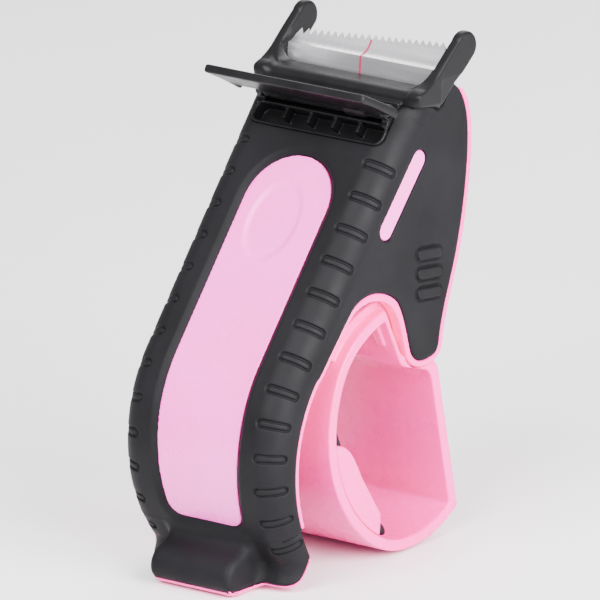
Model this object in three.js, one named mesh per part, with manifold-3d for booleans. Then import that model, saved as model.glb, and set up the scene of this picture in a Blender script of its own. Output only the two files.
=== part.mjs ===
// A palm-grip dispenser for packaging tape. Lengths are millimetres.
// X runs across the width, -Y is the front face, +Z is up, and the part stands on its toe and its hub.
// Every outline is drawn in the side plane, as (y, z), before the whole part is tilted onto its feet.
import * as THREE from "three";
import { mergeVertices } from "three/addons/utils/BufferGeometryUtils.js";
import Module from "manifold-3d";

const wasm = await Module();
wasm.setup();

// ---------- driving dimensions ----------
const GAP = 0.3; // clearance between neighbouring pieces
const STAND_TILT = 3.7; // degrees that the drawing leans back when toe and hub share the floor

const BODY_HALF = 28.5; // half width over the rubber skin
const SKIN = 1.7; // thickness of the rubber skin
const SHELL = 2.1; // wall of the clear shell
const SHELL_HALF = BODY_HALF - SKIN - GAP;
const INNER_HALF = SHELL_HALF - SHELL; // half width of the tape space
const EDGE_ROUND = 8; // radius of the long front edges
const SKIRT_NEAR = 10.6; // depth of the skirt on the closed side
const SKIRT_FAR = 5.4; // depth of the skirt on the side where a roll slides on
const RIM = 0.9; // shell edge that shows past the rubber
const WALL_GROW = 1; // how far the free edges of the side walls stand past their drawn line
const WALL_DROP = -1.6; // how far their upper edge stays under the blade frame

const FACE = { y: 40.7, z: 33, r: 44.4 }; // arc of the lower front face
const FACE_LEAN = 143; // degrees to the outward normal of the straight upper face
const FACE_LENGTH = 76; // straight upper face, from the arc to the top of the ribbed tray
const LIP = 3; // how far the skin runs on above that, beside the ears of the tray
const FACE_END = 210; // degrees on the arc where the foot takes over

const REACH = { y: 47.2, z: 29.4, r: 40.5 }; // arc that trims the skirt where the hand reaches in
const WINDOW = { half: 14.3, top: 62, end: 206 }; // clear window in the rubber face

const HUB = { y: 53.8, z: 35, r: 35.5, wall: 3.2, thin: 1.3, far: -27, near: 27.6 };
const HUB_FRONT = { y: 60.3, z: 37.1, r: 39.3 }; // flatter arc that trims the front of the hub
const HUB_CORNERS = [
  [45.0, 69.4],
  [51.9, 55.2],
  [67.4, 51.0],
  [76.0, 9.2],
];
const ROLL_RADIUS = 48.9; // largest roll that turns clear of the shell

const SLOT = { y0: 58.5, z0: 109.5, y1: 44.5, z1: 92, half: 2.85 }; // clear slot in each side
const SIDE_RIDGES = [82.3, 76.8, 71.2];

const FLAP = { y: 51.9, z: 123.2, length: 19.6, thick: 2.4, half: 28.5, angle: 155.5 };
const PIN_RADIUS = 1.1;
const BARREL_RADIUS = 2.2; // barrel of the flap
const EAR = { radius: 2.3, wide: 2.4 }; // ears of the tray that hold the flap's pin
const TRAY = { half: 23.4, top: 0, bottom: 6.9, depth: 5.2, wall: 0.9, ribs: 4, ribPitch: 8.7 };

const ARM = { y: 77.1, z: 138.2, r: 4.4, inner: 27, outer: 30 };
const BLADE = { half: 26, thick: 0.6, teeth: 22, low: 136.1, high: 139.6, tooth: 1.7 };

const ROLLER = { y: 66.4, z: 112.6, r: 4.6, bore: 1.8, half: 23.6 };
const AXLE_RADIUS = 1.5;
const BUSH_RADIUS = 3.2;
const SCREW = { radius: 1.2, head: 2.6, headTall: 1.7 };

// Sprung finger lever inside the hub: shift sets it back from the hub wall, so that it has room to swing.
const LEVER = { y: 40.9, z: 9.7, half: 24.6, clear: 1.2, shift: 1 };
const LEVER_PIN_RADIUS = 1.2;
// Brake block on the lever that reaches the core of the roll: foot and tip are distances from the hub centre.
const SHOE = { angle: 180, tall: 6, half: 8, foot: 27.7, tip: 34.6 };
const CATCH = { long: 14, wide: 8, thick: 2.2, hook: 38.4 }; // tongues that keep the roll on the hub
const CATCH_ANGLES = { upper: 128, lower: 300 };
const TOE_HALF = 14.5;
const LOBE_HALF = BODY_HALF - 0.6; // half width over the round lobes of the foot
const LOBE_TURN = 216; // degrees on the face arc where the lobes turn under
const BLADE_SCREWS = { far: -16, near: 16 };
const BLADE_SCREW_Z = 123.6;
const FRAME_SCREW = { y: 60.5, z: 121.2 };
const HUB_SCREWS = { upper: [55.5, 67], lower: [64.8, 60] };
const FLAP_SPRING_X = 12;
const LEVER_SPRING_X = 15;
const SPRING = { radius: 1.6, wire: 0.3, turns: 5 }; // torsion springs of the flap and the lever
const SPRING_ROOM = 2.1; // radius of the space for the flap's spring

// ---------- finishes ----------
const FINISH = {
  shell: { color: 0xfcbbec, roughness: 0.2, metalness: 0 },
  rubber: { color: 0x2d2e30, roughness: 0.65, metalness: 0 },
  frame: { color: 0x2b2b2e, roughness: 0.45, metalness: 0 },
  steel: { color: 0xd8dadd, roughness: 0.25, metalness: 1 },
  zinc: { color: 0xb9bcc2, roughness: 0.35, metalness: 1 },
  white: { color: 0xe9e6ea, roughness: 0.4, metalness: 0 },
};

// ---------- drawing and solid helpers ----------
const SIDE_PLANE = new THREE.Matrix4().makeBasis(
  new THREE.Vector3(0, 1, 0),
  new THREE.Vector3(0, 0, 1),
  new THREE.Vector3(1, 0, 0),
);
const rad = THREE.MathUtils.degToRad;
const LEAN = rad(FACE_LEAN);
const NORMAL = { y: Math.cos(LEAN), z: Math.sin(LEAN) };
const UPHILL = { y: Math.sin(LEAN), z: -Math.cos(LEAN) };

// A solid that can be cut and joined, from a closed three.js geometry.
function solidOf(geometry) {
  const bare = geometry.clone();
  bare.deleteAttribute("normal");
  bare.deleteAttribute("uv");
  const merged = mergeVertices(bare, 1e-4);
  const vertProperties = merged.attributes.position.array;
  const triVerts = new Uint32Array(merged.index.array);
  return new wasm.Manifold(new wasm.Mesh({ numProp: 3, vertProperties, triVerts }));
}

function geometryOf(solid) {
  const made = solid.getMesh();
  const geometry = new THREE.BufferGeometry();
  geometry.setAttribute("position", new THREE.BufferAttribute(made.vertProperties, 3));
  geometry.setIndex(new THREE.BufferAttribute(made.triVerts, 1));
  const flat = geometry.toNonIndexed();
  flat.computeVertexNormals();
  return flat;
}

// A side-plane outline carried across the width, from x = from to x = to.
function across(outline, from, to, curveSegments = 8) {
  const made = new THREE.ExtrudeGeometry(outline, { depth: to - from, bevelEnabled: false, curveSegments });
  return solidOf(made.applyMatrix4(SIDE_PLANE).translate(from, 0, 0));
}

function polygon(points) {
  return new THREE.Shape(points.map(([y, z]) => new THREE.Vector2(y, z)));
}

// A round bar across the width.
function bar(y, z, radius, from, to, sides = 20) {
  const made = new THREE.CylinderGeometry(radius, radius, to - from, sides);
  return solidOf(made.rotateZ(Math.PI / 2).translate((from + to) / 2, y, z));
}

function box(x0, x1, y0, y1, z0, z1) {
  const made = new THREE.BoxGeometry(x1 - x0, y1 - y0, z1 - z0);
  return solidOf(made.translate((x0 + x1) / 2, (y0 + y1) / 2, (z0 + z1) / 2));
}

function union(solids) {
  return solids.reduce((whole, next) => whole.add(next));
}

// A point a given depth behind the front face: up = millimetres above the arc, on the straight.
function facePoint(up, depth) {
  return [
    FACE.y + (FACE.r - depth) * NORMAL.y + up * UPHILL.y,
    FACE.z + (FACE.r - depth) * NORMAL.z + up * UPHILL.z,
  ];
}

// The line of the front face, top to bottom: a straight, then an arc.
class FaceLine extends THREE.Curve {
  constructor(top, endAngle) {
    super();
    this.top = top;
    this.arc = rad(endAngle) - LEAN;
  }
  getPoint(t, target = new THREE.Vector3()) {
    const total = this.top + this.arc * FACE.r;
    const along = t * total;
    if (along < this.top) {
      const [y, z] = facePoint(this.top - along, 0);
      return target.set(0, y, z);
    }
    const angle = LEAN + (along - this.top) / FACE.r;
    return target.set(0, FACE.y + FACE.r * Math.cos(angle), FACE.z + FACE.r * Math.sin(angle));
  }
}

// A point a given depth behind the arc of the face, at an angle in degrees.
function arcPoint(degrees, depth) {
  const reach = FACE.r - depth;
  return [FACE.y + reach * Math.cos(rad(degrees)), FACE.z + reach * Math.sin(rad(degrees))];
}

// A section drawn as (across, depth) and swept down the front face.
function downFace(section, steps, top = FACE_LENGTH + LIP, end = FACE_END) {
  const extrudePath = new FaceLine(top, end);
  return solidOf(new THREE.ExtrudeGeometry(section, { extrudePath, steps, curveSegments: 4 }));
}

// The channel section of a skin between two depths, with a skirt on each side.
function channel(half, thick, start, round, nearSkirt, farSkirt) {
  const section = new THREE.Shape();
  const inner = half - thick;
  const innerRound = Math.max(round - thick, 0.5);
  section.moveTo(half, farSkirt);
  section.lineTo(inner, farSkirt);
  section.lineTo(inner, Math.min(start + thick + innerRound, farSkirt - 0.01));
  section.quadraticCurveTo(inner, start + thick, inner - innerRound, start + thick);
  section.lineTo(innerRound - inner, start + thick);
  section.quadraticCurveTo(-inner, start + thick, -inner, start + thick + innerRound);
  section.lineTo(-inner, nearSkirt);
  section.lineTo(-half, nearSkirt);
  section.lineTo(-half, start + round);
  section.quadraticCurveTo(-half, start, round - half, start);
  section.lineTo(half - round, start);
  section.quadraticCurveTo(half, start, half, Math.min(start + round, farSkirt - 0.01));
  return section;
}

// ---------- shared outlines and cutters ----------
// A block on the straight face: from and to run down from its top edge, low and high stand outwards.
function onFace(from, to, low, high, x0, x1) {
  const made = new THREE.BoxGeometry(x1 - x0, to - from, high - low);
  made.translate((x0 + x1) / 2, (from + to) / 2, -(low + high) / 2);
  const [y, z] = facePoint(FACE_LENGTH, 0);
  return solidOf(made.rotateX(rad(FACE_LEAN + 90)).translate(0, y, z));
}

// The side wall's outline, behind a skirt of the given depth. grow moves its free edges outwards,
// top its upper edge.
function sideOutline(grow, skirt, lowest, top = 0) {
  const behind = skirt + GAP;
  const outline = new THREE.Shape();
  outline.moveTo(...facePoint(lowest, behind));
  outline.lineTo(...facePoint(FACE_LENGTH + LIP + GAP, behind));
  outline.lineTo(...facePoint(FACE_LENGTH + LIP + GAP, 0.8 - top));
  outline.quadraticCurveTo(55 - top, 124.6 + top, 60.4, 124.9 + top);
  outline.quadraticCurveTo(63.6, 124.4 + top, 66, 121.9 + top);
  outline.lineTo(69, 123.2 + top);
  outline.lineTo(73.2, 128.5 + top);
  outline.quadraticCurveTo(78.2 + grow, 127.0 + grow, 79.9 + grow, 119.2);
  outline.bezierCurveTo(81.9 + grow, 110, 78.6 + grow, 92, 76.2 + grow, 83.3);
  outline.bezierCurveTo(74.2 + grow, 75, 69.6 + grow, 66, 68.2 + grow, 57.5);
  outline.quadraticCurveTo(68 + grow, 53.6 - grow, 65.4, 52.3 - grow);
  outline.quadraticCurveTo(61.5, 51 - grow, 58.7, 51.6 - grow);
  outline.quadraticCurveTo(55.3 - grow, 52.4 - grow, 54.2 - grow, 55.9);
  outline.bezierCurveTo(52.6 - grow, 61, 51.8 - grow, 66.2, 48.6 - grow, 70.2 - grow);
  outline.bezierCurveTo(45, 74.2 - 1.3 * grow, 36.5, 76.2 - 1.3 * grow, 30, 71.6 - grow);
  outline.closePath();
  return outline;
}

// The clear slot in each side, a stadium along its centre line.
function slotOutline(half) {
  const lean = Math.atan2(SLOT.z0 - SLOT.z1, SLOT.y0 - SLOT.y1);
  const outline = new THREE.Shape();
  outline.absarc(SLOT.y0, SLOT.z0, half, lean - Math.PI / 2, lean + Math.PI / 2, false);
  outline.absarc(SLOT.y1, SLOT.z1, half, lean + Math.PI / 2, lean + 1.5 * Math.PI, false);
  outline.closePath();
  return outline;
}

// The space that the largest roll turns in.
function rollSpace(from, to) {
  return bar(HUB.y, HUB.z, ROLL_RADIUS + 0.4, from, to, 56);
}

// The opening at the top of the front face that the ribbed tray drops into.
function trayOpening(clear) {
  return onFace(-9, TRAY.bottom + clear, -20, 20, -TRAY.half - clear, TRAY.half + clear);
}

// The corner where two walls meet after each has moved inwards by its own distance.
function insetCorner([ay, az], [by, bz], [cy, cz], first, second) {
  const before = new THREE.Vector2(by - ay, bz - az).normalize();
  const after = new THREE.Vector2(cy - by, cz - bz).normalize();
  const turn = before.cross(after);
  return [
    by + (second * before.x - first * after.x) / turn,
    bz + (second * before.y - first * after.y) / turn,
  ];
}

// ---------- shell ----------
// The clear channel behind the rubber face, with a skirt along each side.
function frontShell() {
  const skirts = [SKIRT_NEAR + RIM, SKIRT_FAR + RIM];
  const section = channel(SHELL_HALF, SHELL, SKIN + GAP, EDGE_ROUND - SKIN, ...skirts);
  const cuts = [trayOpening(GAP), rollSpace(-40, INNER_HALF), skirtCut(0)];
  return downFace(section, 24).subtract(union(cuts));
}

function nearSideWall() {
  const wall = across(sideOutline(WALL_GROW, SKIRT_NEAR + RIM, 4, WALL_DROP), INNER_HALF, SHELL_HALF);
  const screwHoles = Object.values(HUB_SCREWS).map(([y, z]) => bar(y, z, SCREW.radius + GAP, 20, 40, 12));
  return wallFittings(wall).subtract(union(screwHoles));
}

// The holes that both side walls have, for the roller's bushes and the screws of the blade frame.
function wallFittings(wall) {
  const bush = bar(ROLLER.y, ROLLER.z, BUSH_RADIUS + GAP, -40, 40, 20);
  return wall.subtract(bush).subtract(bar(FRAME_SCREW.y, FRAME_SCREW.z, SCREW.head + GAP, -40, 40, 16));
}

function farSideWall() {
  const wall = across(sideOutline(WALL_GROW, SKIRT_FAR + RIM, 16, WALL_DROP), -SHELL_HALF, -INNER_HALF);
  return wallFittings(wall).subtract(rollSpace(-40, 0));
}

// The strip that closes the back above the roll.
function rearWall() {
  const outer = sideOutline(WALL_GROW, SKIRT_NEAR, 4);
  const inner = across(sideOutline(WALL_GROW - SHELL, SKIRT_NEAR, 4), -40, 40);
  const reach = INNER_HALF - GAP;
  const strip = across(outer, -reach, reach).subtract(inner);
  return strip.intersect(box(-40, 40, 71.5, 90, 88, 122));
}

// The loop's outline as a block, with its round walls and its thin steep wall moved inwards.
function hubBlank(depth, thin, from, to) {
  const [apex, knee, shoulder, heel] = HUB_CORNERS;
  const top = [3 * apex[0] - 2 * knee[0], 3 * apex[1] - 2 * knee[1]];
  const foot = [1.6 * heel[0] - 0.6 * shoulder[0], 1.6 * heel[1] - 0.6 * shoulder[1]];
  const chain = [[-60, top[1]], top, knee, shoulder, foot, [-60, foot[1]]];
  const depths = [0, thin, depth, depth, 0];
  const inner = [1, 2, 3, 4].map((i) =>
    insetCorner(chain[i - 1], chain[i], chain[i + 1], depths[i - 1], depths[i]),
  );
  return bar(HUB.y, HUB.z, HUB.r - depth, from, to, 56)
    .intersect(bar(HUB_FRONT.y, HUB_FRONT.z, HUB_FRONT.r - depth, from, to, 56))
    .intersect(across(polygon([chain[0], ...inner, chain[5]]), from - 1, to + 1));
}

// The loop that carries the roll and that the fingers go through.
function hubLoop() {
  const tube = hubBlank(0, 0, HUB.far, HUB.near).subtract(
    hubBlank(HUB.wall, HUB.thin, HUB.far - 1, HUB.near + 1),
  );
  const tab = across(sideOutline(WALL_GROW + GAP, SKIRT_NEAR, 16), INNER_HALF - GAP, 40);
  const flange = bar(HUB.y, HUB.z, HUB.r - 0.3, 21.6, INNER_HALF - GAP, 48).intersect(
    across(sideOutline(-1.2, SKIRT_NEAR, 16), 20, 40),
  );
  const cuts = [
    tab,
    radialBlock(SHOE.angle, 25, 40, SHOE.tall / 2 + 1.6, -SHOE.half - 0.6, SHOE.half + 0.6),
    ...Object.values(HUB_SCREWS).map(([y, z]) => bar(y, z, SCREW.radius + GAP, 10, 40, 12)),
    ...Object.values(CATCH_ANGLES).map((angle) =>
      radialBlock(angle, 28, 40, CATCH.wide / 2 + GAP, HUB.far - 1, HUB.far + CATCH.long + GAP),
    ),
  ];
  return tube.add(flange).subtract(union(cuts));
}

// A block on a radius of the hub: reach runs from the hub's centre, half is its half height.
function radialBlock(degrees, from, to, half, x0, x1) {
  const made = new THREE.BoxGeometry(x1 - x0, to - from, 2 * half);
  made.translate((x0 + x1) / 2, (from + to) / 2, 0).rotateX(rad(degrees));
  return solidOf(made.translate(0, HUB.y, HUB.z));
}

// ---------- rubber skin ----------
// Cuts the skirt of the closed side back to the curve that the hand reaches in over.
function skirtCut(grow) {
  return bar(REACH.y, REACH.z, REACH.r + grow, INNER_HALF - 1, 40, 56);
}

// The window in the face between two depths: straight sides and a full round at the top.
function windowBlock(half, from, to) {
  const section = new THREE.Shape();
  section.moveTo(-half, from);
  section.lineTo(half, from);
  section.lineTo(half, to);
  section.lineTo(-half, to);
  section.closePath();
  const roundAt = WINDOW.top - WINDOW.half;
  const trim = (WINDOW.half - half) / FACE.r;
  const round = new THREE.CylinderGeometry(half, half, to - from, 32);
  round.rotateX(LEAN).translate(0, ...facePoint(roundAt, (from + to) / 2));
  return downFace(section, 24, roundAt, WINDOW.end - THREE.MathUtils.radToDeg(trim)).add(solidOf(round));
}

function frontGrip() {
  const section = channel(BODY_HALF, SKIN, 0, EDGE_ROUND, SKIRT_NEAR, SKIRT_FAR);
  const slot = across(slotOutline(SLOT.half), SHELL_HALF, 40);
  const cuts = [trayOpening(GAP), windowBlock(WINDOW.half, -3, SKIN + 0.2), skirtCut(RIM), slot];
  return downFace(section, 24).subtract(union(cuts));
}

function sideCover(outline, from, to) {
  return across(outline, from, to).subtract(across(slotOutline(SLOT.half), from - 1, to + 1));
}

function nearSideCover() {
  const ridges = SIDE_RIDGES.map((z) => box(BODY_HALF - 0.2, BODY_HALF + 0.6, 57.5, 67.5, z - 1.5, z + 1.5));
  return union([sideCover(sideOutline(-RIM, SKIRT_NEAR, 4), SHELL_HALF + GAP, BODY_HALF), ...ridges]);
}

function farSideCover() {
  const cover = sideCover(sideOutline(-RIM, SKIRT_FAR, 16), -BODY_HALF, -SHELL_HALF - GAP);
  return cover.subtract(bar(HUB.y, HUB.z, ROLL_RADIUS + 0.4 + RIM, -40, 0, 56));
}

// The rubber foot: two round lobes and a toe between them.
function footBumper() {
  const lobe = new THREE.Shape();
  lobe.moveTo(...arcPoint(FACE_END + 0.6, 9.4));
  lobe.lineTo(...arcPoint(FACE_END + 0.6, 0));
  lobe.lineTo(...arcPoint((FACE_END + LOBE_TURN) / 2, 0));
  lobe.lineTo(...arcPoint(LOBE_TURN, 0));
  lobe.quadraticCurveTo(6.4, 1.6, 5.4, -0.4);
  lobe.quadraticCurveTo(5.4, -2.4, 7.4, -2.2);
  lobe.quadraticCurveTo(12.6, -1, 12.9, 5.4);
  lobe.closePath();
  const toe = new THREE.Shape();
  toe.moveTo(...arcPoint(FACE_END + 0.6, 6));
  toe.lineTo(2.5, 10.3);
  toe.quadraticCurveTo(1.4, 7.4, -2.4, 6.2);
  toe.quadraticCurveTo(-6.4, 4.4, -6.8, 0.4);
  toe.quadraticCurveTo(-6.8, -4.7, -1.6, -4.9);
  toe.lineTo(4, -4.5);
  toe.quadraticCurveTo(8.2, -3.9, 9.4, 0);
  toe.closePath();
  const block = across(lobe, -LOBE_HALF, LOBE_HALF).add(across(toe, -TOE_HALF, TOE_HALF));
  return block.subtract(rollSpace(-40, INNER_HALF));
}

// ---------- tray, flap and blade ----------
// The ribbed tray under the flap, with an ear at each end for the flap's pin.
function ribTray() {
  const { half, top, bottom, depth, wall } = TRAY;
  const shell = onFace(top, bottom, -depth, 0, -half, half).subtract(
    onFace(top + wall, bottom - wall, -depth + wall, 3, -half + wall, half - wall),
  );
  const ribs = [];
  for (let i = 0; i < TRAY.ribs; i++) {
    const x = (i - (TRAY.ribs - 1) / 2) * TRAY.ribPitch;
    ribs.push(onFace(top + wall / 2, bottom - wall - 2, -depth + wall / 2, -1, x - 0.4, x + 0.4));
  }
  const ears = [-1, 1].map((side) => {
    const x = side * (half - EAR.wide / 2);
    const ends = [x - EAR.wide / 2, x + EAR.wide / 2];
    return bar(FLAP.y, FLAP.z, EAR.radius, ...ends).add(onFace(-3, top + wall, -2.6, 0.2, ...ends));
  });
  return union([shell, ...ribs, ...ears]).subtract(bar(FLAP.y, FLAP.z, PIN_RADIUS + GAP, -40, 40, 16));
}

// The wiper flap: a barrel on the pin and a stiff plate, full width from just past the ears.
function wiperFlap() {
  const { y, z, length, thick, half, angle } = FLAP;
  const barrelHalf = TRAY.half - EAR.wide - GAP;
  const plate = new THREE.BoxGeometry(2 * half, length - 3, thick).translate(0, (length + 3) / 2, 0);
  const root = new THREE.BoxGeometry(2 * barrelHalf, 4, thick).translate(0, 2, 0);
  const turned = [plate, root].map((g) => solidOf(g.rotateX(rad(angle)).translate(0, y, z)));
  const barrel = bar(y, z, BARREL_RADIUS, -barrelHalf, barrelHalf);
  const boss = bar(y, z, SPRING_ROOM + 0.6, FLAP_SPRING_X - 3.6, FLAP_SPRING_X + 3.6);
  const spring = bar(y, z, SPRING_ROOM, FLAP_SPRING_X - 2.9, FLAP_SPRING_X + 2.9);
  const pin = bar(y, z, PIN_RADIUS + GAP, -40, 40, 16);
  return union([...turned, barrel, boss]).subtract(pin).subtract(spring);
}

function bladeFrame() {
  const bridge = polygon([
    [56.6, 125.3],
    [57.5, 127.2],
    [59.6, 128.3],
    [65.6, 128.3],
    [65.6, 125.3],
  ]);
  const tongue = polygon([
    [56.6, 125.5],
    [55.3, 125.2],
    [55.1, 120.4],
    [55.6, 115.6],
    [57.4, 115.6],
    [59.5, 119.5],
    [65.6, 119],
    [65.6, 125.5],
  ]);
  const arm = new THREE.Shape();
  arm.moveTo(57.6, 127.3);
  arm.quadraticCurveTo(57.6, 125.3, 60.6, 125.3);
  arm.quadraticCurveTo(64.2, 124.6, 66.3, 122.5);
  arm.lineTo(68.6, 123.5);
  arm.lineTo(72.8, 129);
  arm.quadraticCurveTo(78.2, 133.2, 80.6, 135.6);
  arm.absarc(ARM.y, ARM.z, ARM.r, rad(-30), rad(150), false);
  arm.quadraticCurveTo(66.4, 134.6, 60.2, 128.2);
  arm.closePath();
  const bores = Object.values(BLADE_SCREWS).map((x) => rodAlongY(x, BLADE_SCREW_Z, 1.8, 59, 75));
  for (const side of [-1, 1]) {
    const ends = [side * 18, side * 30].sort((a, b) => a - b);
    bores.push(bar(FRAME_SCREW.y, FRAME_SCREW.z, SCREW.radius + GAP, ...ends, 12));
  }
  return union([
    across(bridge, -ARM.outer, ARM.outer),
    across(tongue, -TRAY.half, TRAY.half),
    across(arm, -ARM.outer, -ARM.inner),
    across(arm, ARM.inner, ARM.outer),
  ]).subtract(union(bores));
}

// The blade's side profile: a flat band, then a scoop that turns up to the teeth.
function blade() {
  const { half, thick, teeth, low, high, tooth } = BLADE;
  const profile = new THREE.Shape();
  profile.moveTo(65.9, 120);
  profile.lineTo(67.2, 132.9);
  profile.quadraticCurveTo(72.2, 133.6, 73.0, high + 1);
  profile.lineTo(73.0 + thick, high + 1);
  profile.quadraticCurveTo(73.0, 132.9, 67.7, 132.3);
  profile.lineTo(65.9 + thick, 120);
  profile.closePath();
  const cutter = new THREE.Shape();
  cutter.moveTo(-40, high + 9);
  const pitch = (2 * half) / teeth;
  const edge = (x) => low + ((x + half) / (2 * half)) * (high - low);
  cutter.lineTo(-40, edge(-half));
  for (let i = 0; i < teeth; i++) {
    const x = -half + i * pitch;
    cutter.lineTo(x, edge(x) - tooth);
    cutter.lineTo(x + pitch / 2, edge(x));
  }
  cutter.lineTo(half, edge(half) - tooth);
  cutter.lineTo(40, high - tooth);
  cutter.lineTo(40, high + 9);
  cutter.closePath();
  const prism = new THREE.ExtrudeGeometry(cutter, { depth: 30, bevelEnabled: false });
  const above = solidOf(prism.rotateX(Math.PI / 2).translate(0, 85, 0));
  const ends = [-1, 1].map((side) => {
    const reach = [side * (INNER_HALF - GAP), side * 40].sort((a, b) => a - b);
    return box(...reach, 60, 70, 115, 125.4);
  });
  const holes = Object.values(BLADE_SCREWS).map((x) => rodAlongY(x, BLADE_SCREW_Z, 1.9, 60, 75));
  return across(profile, -half, half).subtract(union([above, ...ends, ...holes]));
}

function rodAlongY(x, z, radius, from, to) {
  const made = new THREE.CylinderGeometry(radius, radius, to - from, 16);
  return solidOf(made.translate(x, (from + to) / 2, z));
}

// ---------- roller, screws and springs ----------
// A ring turned about an axis across the width.
function ring(y, z, outer, inner, from, to, sides) {
  return bar(y, z, outer, from, to, sides).subtract(bar(y, z, inner, from - 1, to + 1, sides));
}

// A screw across the width: its head starts at x and its shank runs on for a length, negative to -X.
function screwAcross(y, z, x, length) {
  const way = Math.sign(length);
  const neck = x + way * SCREW.headTall;
  const order = (a, b) => [Math.min(a, b), Math.max(a, b)];
  const head = bar(y, z, SCREW.head, ...order(x, neck), 16);
  const slot = box(...order(x - way, x + way * 0.7), y - 4, y + 4, z - 0.4, z + 0.4);
  return head.subtract(slot).add(bar(y, z, SCREW.radius, ...order(neck - way * 0.1, neck + length), 12));
}

// A pan-head screw that comes in from the back.
function bladeScrew(x) {
  const head = rodAlongY(x, BLADE_SCREW_Z, 3, 67.4, 69.2);
  const slot = box(x - 4, x + 4, 68.5, 70, BLADE_SCREW_Z - 0.4, BLADE_SCREW_Z + 0.4);
  return head.subtract(slot).add(rodAlongY(x, BLADE_SCREW_Z, 1.4, 59.5, 67.5));
}

// The wire of a torsion spring: a coil round a pin.
class SpringWire extends THREE.Curve {
  constructor(y, z, radius, x, width, turns) {
    super();
    Object.assign(this, { y, z, radius, x, width, turns });
  }
  getPoint(t, target = new THREE.Vector3()) {
    const angle = t * this.turns * 2 * Math.PI;
    const x = this.x + (t - 0.5) * this.width;
    return target.set(x, this.y + this.radius * Math.cos(angle), this.z + this.radius * Math.sin(angle));
  }
}

function torsionSpring(y, z, x) {
  const { radius, wire, turns } = SPRING;
  const section = new THREE.Shape().absarc(0, 0, wire, 0, 2 * Math.PI, false);
  const extrudePath = new SpringWire(y, z, radius, x, 3 * wire * turns, turns);
  return solidOf(new THREE.ExtrudeGeometry(section, { extrudePath, steps: turns * 10, curveSegments: 3 }));
}

// ---------- finger lever and roll catches ----------
// The lever fills the hub's lower front, and clears its wall by more at the top than at its pin.
function brakeLever() {
  const outline = polygon([
    [20, 44.5],
    [20, 0],
    [46, 0],
  ]);
  outline.lineTo(46.6, 2.8);
  outline.quadraticCurveTo(48.8, 3.4, 48.8, 5.2);
  outline.bezierCurveTo(48.6, 7.4, 46.2, 8.2, 43.2, 11.2);
  outline.lineTo(35.2, 23.4);
  outline.lineTo(30.1, 33);
  outline.lineTo(25, 44.5);
  const { half, clear, shift } = LEVER;
  const room = hubBlank(HUB.wall + clear, HUB.wall, -half, half).translate(0, shift, -shift);
  const pin = bar(LEVER.y, LEVER.z, LEVER_PIN_RADIUS + GAP, -40, 40, 16);
  const spring = bar(LEVER.y, LEVER.z, 3.4, LEVER_SPRING_X - 4, LEVER_SPRING_X + 4, 24);
  return across(outline, -half, half).intersect(room).subtract(pin).subtract(spring);
}

function brakeShoe() {
  return radialBlock(SHOE.angle, SHOE.foot, SHOE.tip, SHOE.tall / 2, -SHOE.half, SHOE.half);
}

// A web at each end of the lever, set inside the hub, that holds the pin.
function leverCap(x0, x1, boreFrom, boreTo) {
  const outline = polygon([
    [18, 34.9],
    [18, 0],
    [42, 0],
  ]);
  outline.lineTo(42.4, 4.6);
  outline.quadraticCurveTo(43.4, 8, 43.2, 12);
  outline.lineTo(35.3, 23.8);
  outline.bezierCurveTo(31, 32.4, 28.8, 34.4, 24.4, 34.9);
  const room = hubBlank(HUB.wall + GAP, HUB.wall, x0 - 1, x1 + 1);
  const pin = bar(LEVER.y, LEVER.z, LEVER_PIN_RADIUS + GAP, boreFrom, boreTo, 16);
  return across(outline, x0, x1).intersect(room).subtract(pin);
}

// A springy tongue at the open end of the hub, with a hook that keeps the roll from sliding off.
function rollCatch(angle) {
  const { long, wide, thick, hook } = CATCH;
  const from = HUB.r - thick - 0.2;
  const tongue = radialBlock(angle, from, HUB.r - 0.2, wide / 2, HUB.far, HUB.far + long - 0.2);
  const profile = polygon([
    [HUB.far, HUB.r - 0.4],
    [HUB.far + 3.6, HUB.r - 0.4],
    [HUB.far + 2.6, hook],
    [HUB.far + 1.2, hook],
  ]);
  const wedge = new THREE.ExtrudeGeometry(profile, { depth: wide, bevelEnabled: false });
  wedge.translate(0, 0, -wide / 2).rotateX(rad(angle)).translate(0, HUB.y, HUB.z);
  return tongue.add(solidOf(wedge));
}

// ---------- assembly ----------
const drawing = new THREE.Group();

function place(name, solid, finish) {
  const mesh = new THREE.Mesh(geometryOf(solid), new THREE.MeshStandardMaterial(FINISH[finish]));
  mesh.name = name;
  drawing.add(mesh);
}

place("front_shell", frontShell(), "shell");
place("near_side_wall", nearSideWall(), "shell");
place("far_side_wall", farSideWall(), "shell");
place("rear_wall", rearWall(), "shell");
place("hub_loop", hubLoop(), "shell");
place("front_window", windowBlock(WINDOW.half - GAP, 0.6, SKIN), "shell");
place("near_slot_lens", across(slotOutline(SLOT.half - GAP), SHELL_HALF + GAP, BODY_HALF - 0.4), "shell");
place("far_slot_lens", across(slotOutline(SLOT.half - GAP), 0.4 - BODY_HALF, -SHELL_HALF - GAP), "shell");
place("front_grip", frontGrip(), "rubber");
place("near_side_cover", nearSideCover(), "rubber");
place("far_side_cover", farSideCover(), "rubber");
place("foot_bumper", footBumper(), "rubber");

place("rib_tray", ribTray(), "frame");
place("flap_pin", bar(FLAP.y, FLAP.z, PIN_RADIUS, -TRAY.half, TRAY.half, 16), "zinc");
place("flap_spring", torsionSpring(FLAP.y, FLAP.z, FLAP_SPRING_X), "zinc");
place("wiper_flap", wiperFlap(), "frame");
place("blade_frame", bladeFrame(), "frame");
place("blade", blade(), "steel");
for (const [side, x] of Object.entries(BLADE_SCREWS)) {
  place("blade_screw_" + side, bladeScrew(x), "zinc");
}
place("frame_screw_near", screwAcross(FRAME_SCREW.y, FRAME_SCREW.z, SHELL_HALF - 0.1, -6.5), "zinc");
place("frame_screw_far", screwAcross(FRAME_SCREW.y, FRAME_SCREW.z, 0.1 - SHELL_HALF, 6.5), "zinc");

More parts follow.
